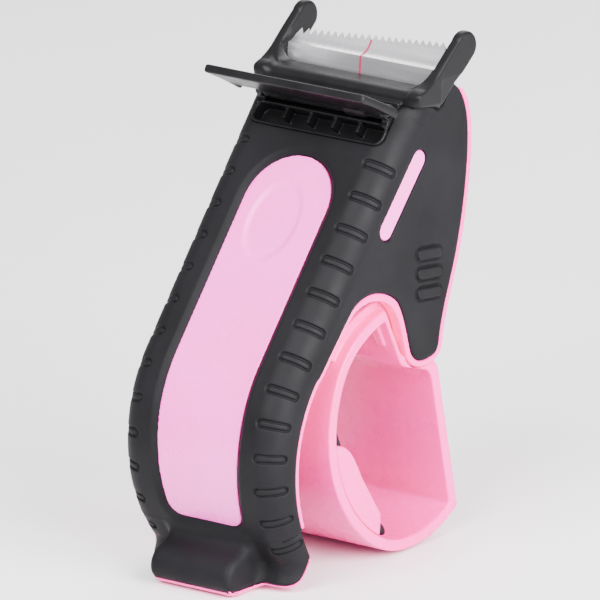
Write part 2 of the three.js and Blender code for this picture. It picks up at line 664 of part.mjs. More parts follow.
const { y: rollerY, z: rollerZ, r: rollerRadius, bore: rollerBore, half: rollerHalf } = ROLLER;
const roller = ring(rollerY, rollerZ, rollerRadius, rollerBore, -rollerHalf, rollerHalf, 28);
place("guide_roller", roller, "white");
place("roller_axle", bar(ROLLER.y, ROLLER.z, AXLE_RADIUS, 0.2 - SHELL_HALF, SHELL_HALF - 0.2, 16), "zinc");
for (const [side, x] of [
  ["near", INNER_HALF],
  ["far", 0.1 - SHELL_HALF],
]) {
  const bush = ring(ROLLER.y, ROLLER.z, BUSH_RADIUS, AXLE_RADIUS + GAP, x, x + SHELL - 0.1, 20);
  place("roller_bush_" + side, bush, "white");
}

place("brake_lever", brakeLever(), "frame");
place("brake_shoe", brakeShoe(), "rubber");
place("lever_cap_near", leverCap(25.4, HUB.near - 0.1, 25, 26.9), "shell");
place("lever_cap_far", leverCap(HUB.far, -24.9, -26.5, -24), "shell");
place("lever_pin", bar(LEVER.y, LEVER.z, LEVER_PIN_RADIUS, -26.4, 26.7, 16), "zinc");
place("lever_spring", torsionSpring(LEVER.y, LEVER.z, LEVER_SPRING_X), "zinc");
for (const [level, angle] of Object.entries(CATCH_ANGLES)) {
  place("roll_catch_" + level, rollCatch(angle), "shell");
}
for (const [level, [y, z]] of Object.entries(HUB_SCREWS)) {
  place("hub_screw_" + level, screwAcross(y, z, 19.7, 4.6), "zinc");
}

// Lean the drawing back until toe and hub share the floor, then put the origin under its middle.
drawing.rotation.x = -rad(STAND_TILT);
const part = new THREE.Group().add(drawing);
part.updateMatrixWorld(true);
const bounds = new THREE.Box3().setFromObject(part, true);
drawing.position.set(0, -(bounds.min.y + bounds.max.y) / 2, -bounds.min.z);

export default part;
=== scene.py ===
"""The looks of the palm-grip tape dispenser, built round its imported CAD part.

Shapes are drawn in the side plane of the part, in millimetres: y runs from the front face backwards, z runs
up and x runs across the width. placed() leans that drawing onto its feet and puts it in the row frame, in
metres.
"""

import copy
import math

import bpy
import numpy as np
import openvdb
from mathutils import Matrix, Vector


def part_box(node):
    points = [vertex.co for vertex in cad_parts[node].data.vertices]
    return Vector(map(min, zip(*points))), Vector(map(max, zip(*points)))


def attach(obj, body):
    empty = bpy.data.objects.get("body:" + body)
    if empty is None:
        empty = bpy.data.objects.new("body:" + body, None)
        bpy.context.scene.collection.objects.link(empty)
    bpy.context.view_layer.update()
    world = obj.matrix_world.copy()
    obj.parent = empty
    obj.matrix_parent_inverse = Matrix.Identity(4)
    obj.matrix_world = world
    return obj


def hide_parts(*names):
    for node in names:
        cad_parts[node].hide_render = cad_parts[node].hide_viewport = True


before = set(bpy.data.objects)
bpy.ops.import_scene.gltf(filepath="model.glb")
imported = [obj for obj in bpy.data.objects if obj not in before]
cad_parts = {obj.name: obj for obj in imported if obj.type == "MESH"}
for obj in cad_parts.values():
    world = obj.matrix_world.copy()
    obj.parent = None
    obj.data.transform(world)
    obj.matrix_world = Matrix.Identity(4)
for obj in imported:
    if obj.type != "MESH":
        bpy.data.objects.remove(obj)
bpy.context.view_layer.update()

# ---------- driving dimensions, as in the CAD part ----------
GAP = 0.3
STAND_TILT = math.radians(3.7)
BODY_HALF = 28.5
SKIN = 1.7
SHELL = 2.1
SHELL_HALF = BODY_HALF - SKIN - GAP
INNER_HALF = SHELL_HALF - SHELL
EDGE_ROUND = 8.0
SKIRT_NEAR = 10.6
SKIRT_FAR = 5.4
RIM = 0.9
WALL_GROW = 1.0
FACE = {"y": 40.7, "z": 33.0, "r": 44.4}
FACE_LEAN = math.radians(143)
FACE_LENGTH = 76.0
LIP = 3.0
OVERLAP = 0.5
FACE_END = math.radians(210)
REACH = {"y": 47.2, "z": 29.4, "r": 40.5}
HUB = {"y": 53.8, "z": 35.0, "r": 35.5, "wall": 3.2, "far": -27.0, "near": 27.6}
HUB_FRONT = {"y": 60.3, "z": 37.1, "r": 39.3}
HUB_CORNERS = ((45.0, 69.4), (51.9, 55.2), (67.4, 51.0), (76.0, 9.2))
ROLL_CLEAR = 49.3
SLOT = {"y0": 58.5, "z0": 109.5, "y1": 44.5, "z1": 92.0, "half": 2.85}
ROLLER = {"y": 66.4, "z": 112.6, "r": 4.6, "half": 23.6}
FLAP = {"y": 51.9, "z": 123.2, "length": 19.6, "angle": math.radians(155.5), "spring_x": 12}
TRAY_HALF = 23.4
TRAY_BOTTOM = 6.9
TRAY_DEPTH = 5.2
TRAY_RIBS = 4
TRAY_RIB_PITCH = 8.7
SPRING = {"radius": 1.6, "wire": 0.3, "turns": 5, "room": 2.1}
LEVER = {"y": 40.9, "z": 9.7, "half": 24.6, "spring_x": 15}
CATCH_ANGLES = {"upper": math.radians(128), "lower": math.radians(300)}
FRAME_SCREW = (60.5, 121.2)
HUB_SCREWS = {"upper": (55.5, 67.0), "lower": (64.8, 60.0)}
BLADE_SCREW = {"x": 16.0, "z": 123.6}
SCREW_BORE = 1.5
LEVER_BORE = 1.5
FLAP_BORE = 1.35
BEVEL = 0.3

NORMAL = (math.cos(FACE_LEAN), math.sin(FACE_LEAN))
UPHILL = (math.sin(FACE_LEAN), -math.cos(FACE_LEAN))


# ---------- placing ----------
def leaned(y, z):
    """The drawing turned onto its feet, still in millimetres."""
    c, s = math.cos(STAND_TILT), math.sin(STAND_TILT)
    return y * c + z * s, z * c - y * s


axle_low, axle_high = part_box("roller_axle")
axle = (axle_low + axle_high) / 2
axle_drawn = leaned(ROLLER["y"], ROLLER["z"])
ORIGIN = (axle.y * 1000 - axle_drawn[0], axle.z * 1000 - axle_drawn[1])


def placed(points):
    """Points of the drawing as points of the row frame, in metres."""
    p = np.asarray(points, float).reshape(-1, 3)
    y, z = leaned(p[:, 1], p[:, 2])
    return np.stack([p[:, 0], y + ORIGIN[0], z + ORIGIN[1]], 1) / 1000


def direction(x, y, z):
    turned = leaned(y, z)
    return Vector((x, turned[0], turned[1]))


# ---------- outlines in the side plane ----------
CURVE_STEPS = 10
ARC_STEPS = 16


class Outline:
    """A closed outline, built up from lines, Bezier curves and arcs."""

    def __init__(self, y, z):
        self.points = [(y, z)]

    def line(self, *points):
        self.points.extend(points)
        return self

    def curve(self, *controls):
        ends = [self.points[-1], *controls]
        for i in range(1, CURVE_STEPS + 1):
            t = i / CURVE_STEPS
            level = ends
            while len(level) > 1:
                level = [
                    ((1 - t) * a[0] + t * b[0], (1 - t) * a[1] + t * b[1]) for a, b in zip(level, level[1:])
                ]
            self.points.append(level[0])
        return self

    def arc(self, y, z, radius, start, end):
        for i in range(ARC_STEPS + 1):
            angle = math.radians(start + (end - start) * i / ARC_STEPS)
            self.points.append((y + radius * math.cos(angle), z + radius * math.sin(angle)))
        return self

    def field(self, grid):
        """Signed distance from the outline over a grid, negative inside."""
        nearest = np.full(np.broadcast_shapes(grid.y.shape, grid.z.shape), 1e9, np.float32)
        inside = np.zeros(nearest.shape, bool)
        for (ay, az), (by, bz) in zip(self.points, self.points[1:] + self.points[:1]):
            ey, ez = by - ay, bz - az
            if ey * ey + ez * ez < 1e-9:
                continue
            wy, wz = grid.y - ay, grid.z - az
            t = np.clip((wy * ey + wz * ez) / (ey * ey + ez * ez), 0, 1)
            nearest = np.minimum(nearest, (wy - ey * t) ** 2 + (wz - ez * t) ** 2)
            if az != bz:
                inside ^= ((az > grid.z) != (bz > grid.z)) & (grid.y < ey * (grid.z - az) / ez + ay)
        return np.where(inside, -1, 1) * np.sqrt(nearest)


def face_point(up, depth):
    """A point a depth behind the straight upper face, up millimetres above its arc."""
    reach = FACE["r"] - depth
    return (
        FACE["y"] + reach * NORMAL[0] + up * UPHILL[0],
        FACE["z"] + reach * NORMAL[1] + up * UPHILL[1],
    )


def arc_point(degrees, depth):
    reach = FACE["r"] - depth
    angle = math.radians(degrees)
    return FACE["y"] + reach * math.cos(angle), FACE["z"] + reach * math.sin(angle)


def side_outline(grow, skirt, lowest, top=0.0):
    """The side wall behind a skirt of the given depth.

    grow moves its free edges outwards, and top its upper edge.
    """
    behind = skirt - OVERLAP
    high = FACE_LENGTH + LIP - OVERLAP
    outline = Outline(*face_point(lowest, behind))
    outline.line(face_point(high, behind), face_point(high, 0.8 - top))
    outline.curve((55 - top, 124.6 + top), (60.4, 124.9 + top))
    outline.curve((63.6, 124.4 + top), (66, 121.9 + top))
    outline.line((69, 123.2 + top), (73.2, 128.5 + top))
    outline.curve((78.2 + grow, 127.0 + grow), (79.9 + grow, 119.2))
    outline.curve((81.9 + grow, 110), (78.6 + grow, 92), (76.2 + grow, 83.3))
    outline.curve((74.2 + grow, 75), (69.6 + grow, 66), (68.2 + grow, 57.5))
    outline.curve((68 + grow, 53.6 - grow), (65.4, 52.3 - grow))
    outline.curve((61.5, 51 - grow), (58.7, 51.6 - grow))
    outline.curve((55.3 - grow, 52.4 - grow), (54.2 - grow, 55.9))
    outline.curve((52.6 - grow, 61), (51.8 - grow, 66.2), (48.6 - grow, 70.2 - grow))
    outline.curve((45, 74.2 - 1.3 * grow), (36.5, 76.2 - 1.3 * grow), (30, 71.6 - grow))
    return outline


# ---------- solids as distance fields ----------
class Grid:
    """The sample points of a box, step apart."""

    def __init__(self, x, y, z, step):
        self.step, self.low = step, np.array([x[0], y[0], z[0]])
        axes = [np.arange(math.ceil((b - a) / step) + 1, dtype=np.float32) * step + a for a, b in (x, y, z)]
        self.x = axes[0][:, None, None]
        self.y = axes[1][None, :, None]
        self.z = axes[2][None, None, :]
        self.shape = tuple(len(a) for a in axes)

    def shifted(self, y, z):
        """The same samples, as seen by a shape that has moved by y and z."""
        other = copy.copy(self)
        other.y, other.z = self.y - y, self.z - z
        return other


def join(a, b, blend=0.0):
    """The union of two fields, with a fillet of about the given size."""
    if blend <= 0:
        return np.minimum(a, b)
    h = np.clip(0.5 + 0.5 * (b - a) / blend, 0, 1)
    return b + (a - b) * h - blend * h * (1 - h)


def meet(a, b, blend=0.0):
    """What two fields share, with its edges rounded by about the given size."""
    return -join(-a, -b, blend)


def cut(a, b, blend=0.0):
    return meet(a, -b, blend)


def circle(grid, y, z, r):
    return np.hypot(grid.y - y, grid.z - z) - r


def beyond(grid, a, b):
    """Distance to the left of the line from a to b in the side plane."""
    ey, ez = b[0] - a[0], b[1] - a[1]
    size = math.hypot(ey, ez)
    return ((grid.z - a[1]) * ey - (grid.y - a[0]) * ez) / size


def between(value, low, high):
    return np.abs(value - (low + high) / 2) - (high - low) / 2


def stadium(grid, half):
    """The clear slot's outline."""
    ay, az, by, bz = SLOT["y0"], SLOT["z0"], SLOT["y1"], SLOT["z1"]
    ey, ez = by - ay, bz - az
    t = np.clip(((grid.y - ay) * ey + (grid.z - az) * ez) / (ey * ey + ez * ez), 0, 1)
    return np.hypot(grid.y - ay - ey * t, grid.z - az - ez * t) - half


class Face:
    """The front face's own coordinates: depth behind it, and distance down from its top edge."""

    def __init__(self, grid):
        ry, rz = grid.y - FACE["y"], grid.z - FACE["z"]
        up = ry * UPHILL[0] + rz * UPHILL[1]
        out = ry * NORMAL[0] + rz * NORMAL[1]
        radius = np.hypot(ry, rz)
        angle = np.mod(np.arctan2(rz, ry), 2 * np.pi)
        low_angle = np.clip(angle, FACE_LEAN, FACE_LEAN + np.pi)
        self.depth = np.where(up > 0, FACE["r"] - out, FACE["r"] - radius)
        self.along = np.where(up > 0, FACE_LENGTH - up, FACE_LENGTH + FACE["r"] * (low_angle - FACE_LEAN))
        self.wide = np.abs(grid.x) - (BODY_HALF - EDGE_ROUND)
        self.outside = self.rounded(self.depth)
        side = np.maximum(self.wide, 0)
        front = np.maximum(EDGE_ROUND - self.depth, 0)
        corner = EDGE_ROUND * np.arctan2(side, np.maximum(front, 1e-6))
        self.round_edge = corner + np.minimum(self.wide, 0) + np.maximum(self.depth - EDGE_ROUND, 0)

    def rounded(self, depth):
        """Distance outside a body whose front is at depth 0 and whose long edges are rounded."""
        inner = np.minimum(np.maximum(self.wide, EDGE_ROUND - depth), 0)
        return np.hypot(np.maximum(self.wide, 0), np.maximum(EDGE_ROUND - depth, 0)) + inner - EDGE_ROUND


FACE_RUN = FACE_LENGTH + FACE["r"] * (FACE_END - FACE_LEAN)
WINDOW = {"top": 14.0, "end": 124.8, "half": 14.3, "low_corner": 4.0}


def rounded_box(qx, qs, corner):
    """Distance outside a rounded rectangle, from how far a point lies past each of its straight sides."""
    return np.hypot(np.maximum(qx, 0), np.maximum(qs, 0)) + np.minimum(np.maximum(qx, qs), 0) - corner


def window_field(grid, face):
    """Distance outside the window's outline, measured on the face: round above, narrower and square below."""
    narrowing = 1.7 * np.clip((face.along - 88) / 36, 0, 1) ** 2
    width = WINDOW["half"] - narrowing
    high = WINDOW["top"] + WINDOW["half"]
    top = np.hypot(grid.x, face.along - high) - WINDOW["half"]
    qx = np.abs(grid.x) - (width - WINDOW["low_corner"])
    qs = face.along - (WINDOW["end"] - WINDOW["low_corner"])
    return np.where(face.along < high, top, rounded_box(qx, qs, WINDOW["low_corner"]))


def window_bevel(grid, face):
    """The same distance for the opening in the rubber, which widens towards the surface."""
    return (window_field(grid, face) - 2.0 * np.clip(1 + face.outside / SKIN, 0, 1.3)) / 1.5


# ---------- meshes ----------
def mesh_object(name, points, *face_sets):
    """A mesh from drawing points and arrays of three-sided and four-sided faces."""
    faces = [np.asarray(f, np.int64) for f in face_sets if len(f)]
    mesh = bpy.data.meshes.new(name)
    co = placed(points)
    loops = np.concatenate([f.ravel() for f in faces])
    sizes = np.concatenate([np.full(len(f), f.shape[1]) for f in faces])
    mesh.vertices.add(len(co))
    mesh.vertices.foreach_set("co", co.astype(np.float32).ravel())
    mesh.loops.add(len(loops))
    mesh.loops.foreach_set("vertex_index", loops.astype(np.int32))
    mesh.polygons.add(len(sizes))
    mesh.polygons.foreach_set("loop_start", (np.cumsum(sizes) - sizes).astype(np.int32))
    mesh.polygons.foreach_set("use_smooth", np.ones(len(sizes), bool))
    mesh.update(calc_edges=True)
    mesh.validate()
    made = bpy.data.objects.new(name, mesh)
    bpy.context.scene.collection.objects.link(made)
    return made


def sampled(field, index):
    """A field's values at points given in grid steps."""
    top = np.array(field.shape) - 1.001
    p = np.clip(index, 0, top)
    i = p.astype(int)
    f = p - i
    total = 0
    for dx in (0, 1):
        for dy in (0, 1):
            for dz in (0, 1):
                weight = (
                    np.where(dx, f[:, 0], 1 - f[:, 0])
                    * np.where(dy, f[:, 1], 1 - f[:, 1])
                    * np.where(dz, f[:, 2], 1 - f[:, 2])
                )
                total = total + weight * field[i[:, 0] + dx, i[:, 1] + dy, i[:, 2] + dz]
    return total


def solid(name, grid, field):
    """The surface of a field, as a smooth mesh whose shading follows the field's slope."""
    reach = 3 * grid.step
    field = np.clip(np.broadcast_to(field, grid.shape), -reach, reach).astype(np.float32)
    volume = openvdb.FloatGrid(reach)
    volume.copyFromArray(field)
    points, triangles, quads = volume.convertToPolygons(isovalue=0.0)
    made = mesh_object(name, grid.low + points * grid.step, triangles, quads)
    slope = np.zeros((len(points), 3))
    for axis in range(3):
        step = np.zeros(3)
        step[axis] = 0.6
        slope[:, axis] = sampled(field, points + step) - sampled(field, points - step)
    size = np.linalg.norm(slope, axis=1, keepdims=True)
    slope = slope / np.maximum(size, 1e-9)
    y, z = leaned(slope[:, 1], slope[:, 2])
    made.data.normals_split_custom_set_from_vertices(np.stack([slope[:, 0], y, z], 1).tolist())
    return made


def finished(obj, body, slot, *nodes):
    """The piece rides on its body, stands for its CAD nodes and takes the material of its slot."""
    obj.data.materials.clear()
    obj.data.materials.append(FINISHES[slot])
    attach(obj, body)
    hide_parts(*nodes)
    return obj


# ---------- materials ----------
class Nodes:
    """A material's node tree, written from the shader backwards."""

    def __init__(self, name):
        self.material = bpy.data.materials.new(name)
        self.material.use_nodes = True
        self.tree = self.material.node_tree
        self.shader = next(n for n in self.tree.nodes if n.type == "BSDF_PRINCIPLED")
        self.where = self.tree.nodes.new("ShaderNodeTexCoord").outputs["Object"]

    def set(self, **values):
        for name, value in values.items():
            self.shader.inputs[name.replace("_", " ")].default_value = value

    def link(self, source, target):
        self.tree.links.new(source, target)

    def noise(self, scale, detail, stretch=(1, 1, 1)):
        mapping = self.tree.nodes.new("ShaderNodeMapping")
        mapping.inputs["Scale"].default_value = stretch
        self.link(self.where, mapping.inputs["Vector"])
        made = self.tree.nodes.new("ShaderNodeTexNoise")
        made.inputs["Scale"].default_value = scale
        made.inputs["Detail"].default_value = detail
        made.inputs["Roughness"].default_value = 0.55
        self.link(mapping.outputs["Vector"], made.inputs["Vector"])
        return made.outputs["Fac"]

    def ramp(self, source, *stops):
        """Colours or greys at positions along a value."""
        made = self.tree.nodes.new("ShaderNodeValToRGB")
        elements = made.color_ramp.elements
        while len(elements) < len(stops):
            elements.new(0.5)
        for element, (position, colour) in zip(elements, stops):
            grey = isinstance(colour, (int, float))
            element.position = position
            element.color = (colour,) * 3 + (1,) if grey else (*colour, 1)
        self.link(source, made.inputs["Fac"])
        return made.outputs["Color"]

    def mix(self, factor, first, second):
        made = self.tree.nodes.new("ShaderNodeMix")
        made.data_type = "RGBA"
        self.link(factor, made.inputs["Factor"])
        for name, value in (("A", first), ("B", second)):
            socket = next(s for s in made.inputs if s.name == name and s.type == "RGBA")
            if isinstance(value, tuple):
                socket.default_value = (*value, 1)
            else:
                self.link(value, socket)
        return next(s for s in made.outputs if s.type == "RGBA")

    def bump(self, height, strength, distance):
        made = self.tree.nodes.new("ShaderNodeBump")
        made.inputs["Strength"].default_value = strength
        made.inputs["Distance"].default_value = distance
        self.link(height, made.inputs["Height"])
        self.link(made.outputs["Normal"], self.shader.inputs["Normal"])

    def colour(self, source):
        self.link(source, self.shader.inputs["Base Color"])

    def roughness(self, source):
        self.link(source, self.shader.inputs["Roughness"])

    def part(self, axis):
        split = self.tree.nodes.new("ShaderNodeSeparateXYZ")
        self.link(self.where, split.inputs["Vector"])
        return split.outputs[axis]

    def maths(self, operation, first, second=0.0):
        made = self.tree.nodes.new("ShaderNodeMath")
        made.operation = operation
        for i, value in enumerate((first, second)):
            if isinstance(value, (int, float)):
                made.inputs[i].default_value = value
            else:
                self.link(value, made.inputs[i])
        return made.outputs[0]


def pink_plastic(name, deep, pale, through, gloss):
    """Moulded milky plastic: a slow drift in tint, faint flow marks and fine handling scuffs."""
    n = Nodes(name)
    n.colour(n.ramp(n.noise(28, 2), (0.35, deep), (0.65, pale)))
    n.roughness(n.ramp(n.noise(160, 5), (0.3, gloss), (0.75, gloss + 0.12)))
    n.bump(n.noise(90, 2, (1, 0.6, 0.6)), 0.12, 0.0004)
    n.set(IOR=1.45, Transmission_Weight=through, Coat_Weight=0.15, Coat_Roughness=0.12)
    n.set(Subsurface_Weight=0.12, Subsurface_Radius=(1.0, 0.45, 0.75), Subsurface_Scale=0.002)
    return n.material


def soft_rubber():
    """Matt overmould: fine grain, greyer where it is handled, a little dust."""
    n = Nodes("soft_rubber")
    worn = n.noise(45, 4)
    n.colour(n.ramp(worn, (0.3, (0.0050, 0.0048, 0.0056)), (0.7, (0.0080, 0.0077, 0.0090))))
    n.roughness(n.ramp(n.noise(70, 5), (0.3, 0.46), (0.7, 0.62)))
    n.bump(n.noise(2600, 2), 0.22, 0.00012)
    n.set(Specular_IOR_Level=0.08)
    return n.material


def black_plastic():
    """Satin moulding with a fine spark-eroded texture."""
    n = Nodes("black_plastic")
    n.colour(n.ramp(n.noise(60, 4), (0.3, (0.0042, 0.0040, 0.0046)), (0.7, (0.0068, 0.0066, 0.0074))))
    n.roughness(n.ramp(n.noise(120, 5), (0.3, 0.3), (0.7, 0.44)))
    n.bump(n.noise(2000, 2), 0.14, 0.0001)
    n.set(Specular_IOR_Level=0.12)
    return n.material


def blade_steel():
    """Bright steel brushed along the blade, with the painted line that marks its middle."""
    n = Nodes("blade_steel")
    brushed = n.noise(900, 4, (0.05, 1, 1))
    metal = n.ramp(brushed, (0.3, (0.78, 0.78, 0.80)), (0.7, (0.86, 0.86, 0.88)))
    from_middle = n.maths("ABSOLUTE", n.part("X"))
    painted = n.maths("LESS_THAN", from_middle, 0.0004)
    n.colour(n.mix(painted, metal, (0.28, 0.02, 0.07)))
    bare = n.maths("SUBTRACT", 1.0, painted)
    n.link(n.maths("MULTIPLY", bare, 0.93), n.shader.inputs["Metallic"])
    n.roughness(n.ramp(brushed, (0.3, 0.27), (0.7, 0.31)))
    n.bump(brushed, 0.03, 0.0001)
    return n.material


def zinc_steel():
    """Plated screws, pins and springs."""
    n = Nodes("zinc_steel")
    n.colour(n.ramp(n.noise(220, 4), (0.3, (0.46, 0.47, 0.49)), (0.7, (0.62, 0.63, 0.65))))
    n.roughness(n.ramp(n.noise(350, 3), (0.3, 0.26), (0.7, 0.42)))
    n.bump(n.noise(1500, 2), 0.08, 0.0001)
    n.set(Metallic=1.0)
    return n.material


def white_plastic():
    """Low-friction plastic of the roller and its bushes."""
    n = Nodes("white_plastic")
    n.colour(n.ramp(n.noise(80, 3), (0.3, (0.72, 0.70, 0.74)), (0.7, (0.82, 0.81, 0.84))))
    n.roughness(n.ramp(n.noise(200, 3), (0.3, 0.32), (0.7, 0.46)))
    n.bump(n.noise(700, 2), 0.08, 0.0001)
    return n.material


FINISHES = {
    "clear_shell": pink_plastic("clear_shell", (1.0, 0.025, 0.33), (1.0, 0.035, 0.38), 0.0, 0.22),
    "clear_window": pink_plastic("clear_window", (1.0, 0.09, 0.54), (1.0, 0.12, 0.60), 0.04, 0.2),
    "soft_rubber": soft_rubber(),
    "black_plastic": black_plastic(),
    "blade_steel": blade_steel(),
    "zinc_steel": zinc_steel(),
    "white_plastic": white_plastic(),
}

# ---------- shell and rubber skin ----------
RUBBER_STEP = 0.36
PLASTIC_STEP = 0.42
FRAME_STEP = 0.32
RIDGE = {
    "count": 13,
    "first": 12.4,
    "pitch": 9.9,
    "half": 1.35,
    "bar_half": 0.78,
    "near_end": 10.5,
    "far_end": 8.6,
}
THUMB_BARS = (82.3, 76.8, 71.2)
LIP_INSIDE = 24.0
TOE_HALF = 14.5
SOLE_SHIFT = (0.45, -0.75)


def ridge_fields(grid, face):
    """The pill-shaped pockets along the round front edges, and the bar that stands in each."""
    half = RIDGE["half"]
    nearest = np.clip(np.round((face.along - RIDGE["first"]) / RIDGE["pitch"]), 0, RIDGE["count"] - 1)
    off = face.along - (RIDGE["first"] + RIDGE["pitch"] * nearest)
    end = np.where(grid.x > 0, RIDGE["near_end"], RIDGE["far_end"])
    reach = face.round_edge - np.clip(face.round_edge, half, end - half)
    ring = np.hypot(reach, off)
    return ring - half, ring - RIDGE["bar_half"]


def skin_region(grid, face, near, far, skirt_extra, reach_grow, roll_grow):
    """Where the rubber or the shell runs, seen from the side: one outline for each half of the width."""
    ends = np.maximum(-face.along - LIP, face.along - FACE_RUN)
    reach = circle(grid, REACH["y"], REACH["z"], REACH["r"] + reach_grow)
    roll = circle(grid, HUB["y"], HUB["z"], ROLL_CLEAR + roll_grow)
    near_skirt = np.maximum(np.maximum(face.depth - (SKIRT_NEAR + skirt_extra), -reach), ends)
    far_skirt = np.maximum(face.depth - (SKIRT_FAR + skirt_extra), ends)
    near_side = join(near_skirt, near.field(grid), 2.5)
    far_side = np.minimum(far_skirt, np.maximum(far.field(grid), -roll))
    return np.where(grid.x > 0, near_side, far_side)


def foot_field(grid, face):
    """Two round lobes across the foot, and the toe that stands out between them."""
    lobe = Outline(*arc_point(210.4, 11))
    lobe.line(arc_point(210.4, 1.9), arc_point(208.5, 1.8), arc_point(208.5, -3), (-4, -2.0), (7.2, -2.0))
    lobe.curve((12.4, -1.4), (12.8, 5.4))
    flare = 5.2 * np.clip((4.5 - grid.z) / 6.4, 0, 1) ** 1.6
    reach = circle(grid, REACH["y"], REACH["z"], REACH["r"] + RIM)
    lobes = meet(np.maximum(lobe.field(grid), -reach), face.rounded(face.depth + flare), 1.4)
    toe = Outline(*arc_point(209, 6))
    toe.line(arc_point(209, 1.2), (2.5, 10.3))
    toe.curve((1.4, 7.4), (-2.4, 6.2))
    toe.curve((-6.4, 4.4), (-6.8, 0.4))
    toe.curve((-6.8, -3.9), (-1.6, -4.1))
    toe.line((4, -3.7))
    toe.curve((8.2, -3.1), (9.4, 0))
    middle = meet(toe.field(grid), np.abs(grid.x) - TOE_HALF, 2.6)
    return lobes, middle


def tray_pocket(grid, face, grow):
    """The opening for the ribbed tray, open at the top edge."""
    corner = 3.0
    qx = np.abs(grid.x) - (TRAY_HALF + grow - corner)
    qs = face.along - (TRAY_BOTTOM + grow - corner)
    return rounded_box(qx, qs, corner)


def sole_field(grid):
    """The rim of shell that shows behind and under the rubber foot."""
    moved = grid.shifted(*SOLE_SHIFT)
    foot = join(*foot_field(grid, Face(grid)), 2.6)
    rim = join(*foot_field(moved, Face(moved)), 2.6)
    return np.maximum(rim, 0.05 - foot)


def rubber_skin():
    """The overmould: skin, lips, foot, ridges, openings and the three short bars on the near side."""
    grid = Grid((-29.3, 29.3), (-8, 83.4), (-5.8, 131.4), RUBBER_STEP)
    face = Face(grid)
    near = side_outline(-RIM, SKIRT_NEAR, 4)
    far = side_outline(-RIM, SKIRT_FAR, 16)
    region = skin_region(grid, face, near, far, 0, RIM, RIM)
    skin = meet(meet(face.outside, -(face.outside + SKIN), 0.3), region, 0.7)
    for sign, rim in ((1, near.field(grid)), (-1, far.field(grid))):
        lip = np.maximum(between(rim, -1.4, 0), between(grid.x * sign, LIP_INSIDE, BODY_HALF))
        top_corner = np.maximum(116 - grid.z, grid.y - 67.5)
        skin = join(skin, np.maximum(np.maximum(lip, face.outside + 0.1), top_corner), 0.5)
    lobes, toe = foot_field(grid, face)
    skin = join(join(skin, lobes, 0.6), toe, 2.6)
    pocket, bar = ridge_fields(grid, face)
    pocket = np.maximum(pocket, -(face.outside + 0.75))
    skin = cut(skin, pocket, 0.2)
    bar = meet(meet(bar, face.outside + 0.12, 0.4), -(face.outside + 1.5))
    skin = join(skin, bar, 0.15)
    skin = cut(skin, np.where(np.abs(face.outside) < 4, window_bevel(grid, face), 9), 0.5)
    skin = cut(skin, np.where(face.depth < 4, tray_pocket(grid, face, GAP), 9), 0.4)
    skin = cut(skin, stadium(grid, SLOT["half"]), 0.35)
    in_roll = circle(grid, HUB["y"], HUB["z"], ROLL_CLEAR) < 0
    skin = np.where(in_roll, np.maximum(skin, np.where(grid.x < LIP_INSIDE, 1, -9)), skin)
    for z in THUMB_BARS:
        along = np.clip(grid.y, 58.9, 66.2)
        pill = np.hypot(grid.y - along, grid.z - (z - 0.07 * (grid.y - 62.5)))
        raised = meet(pill - 1.55, between(grid.x, 28.0, 29.0), 0.5)
        groove = meet(np.abs(pill - 1.8) - 0.3, between(grid.x, 28.05, 30))
        skin = join(cut(skin, groove, 0.25), raised, 0.2)
    return solid("rubber_skin", grid, skin)


def clear_shell():
    """The shell under the rubber, with its rims, its rear wall and the sole's rim."""
    grid = Grid((-28.6, 28.6), (-7.5, 84), (-5.6, 131.4), PLASTIC_STEP)
    face = Face(grid)
    near = side_outline(WALL_GROW, SKIRT_NEAR + RIM, 4, -1.6)
    far = side_outline(WALL_GROW, SKIRT_FAR + RIM, 16, -1.6)
    region = skin_region(grid, face, near, far, RIM + 0.6, -0.6, 0)
    rubber_near = side_outline(-RIM, SKIRT_NEAR, 4)
    rubber_far = side_outline(-RIM, SKIRT_FAR, 16)
    covered = skin_region(grid, face, rubber_near, rubber_far, 0, RIM, RIM)
    outer = np.minimum(face.outside + SKIN + GAP, meet(face.outside + 0.35, 0.12 - covered, 0.2))
    rear = meet(near.field(grid), -(near.field(grid) + SHELL))
    rear_reach = np.maximum(between(grid.z, 88, 122), 71.5 - grid.y)
    rear = meet(meet(rear, np.abs(grid.x) - INNER_HALF - 0.5), rear_reach, 0.3)
    shell = meet(meet(outer, -(face.outside + SKIN + GAP + SHELL)), region, 0.35)
    shell = join(shell, rear, 1.2)
    shell = cut(shell, np.where(face.depth < 14, tray_pocket(grid, face, GAP), 9), 0.3)
    roll = np.maximum(circle(grid, HUB["y"], HUB["z"], ROLL_CLEAR), grid.x - INNER_HALF)
    shell = cut(shell, roll, 0.3)
    shell = join(shell, sole_field(grid), 0.2)
    for (y, z), radius in (((ROLLER["y"], ROLLER["z"]), 3.5), (FRAME_SCREW, 2.9)):
        shell = cut(shell, np.maximum(circle(grid, y, z, radius), 24 - np.abs(grid.x)))
    for y, z in HUB_SCREWS.values():
        shell = cut(shell, np.maximum(circle(grid, y, z, SCREW_BORE), 20 - grid.x))
    return solid("shell_body", grid, shell)


def window_plug():
    """The clear window: its edge sits in the rubber, and a thumb hollow is pressed in its upper part."""
    grid = Grid((-16.6, 16.6), (-4.5, 46), (7, 112), 0.34)
    face = Face(grid)
    edge = window_bevel(grid, face) + 0.1
    thumb = np.hypot((grid.x + 1.5) / 8.2, (face.along - 34) / 11.8)
    hollow = 0.4 * np.clip((1.1 - thumb) / 0.2, 0, 1)
    surface = face.outside + 0.95 + hollow
    plug = meet(meet(surface, edge, 0.5), -(face.outside + SKIN + 0.25))
    return solid("window_plug", grid, plug)


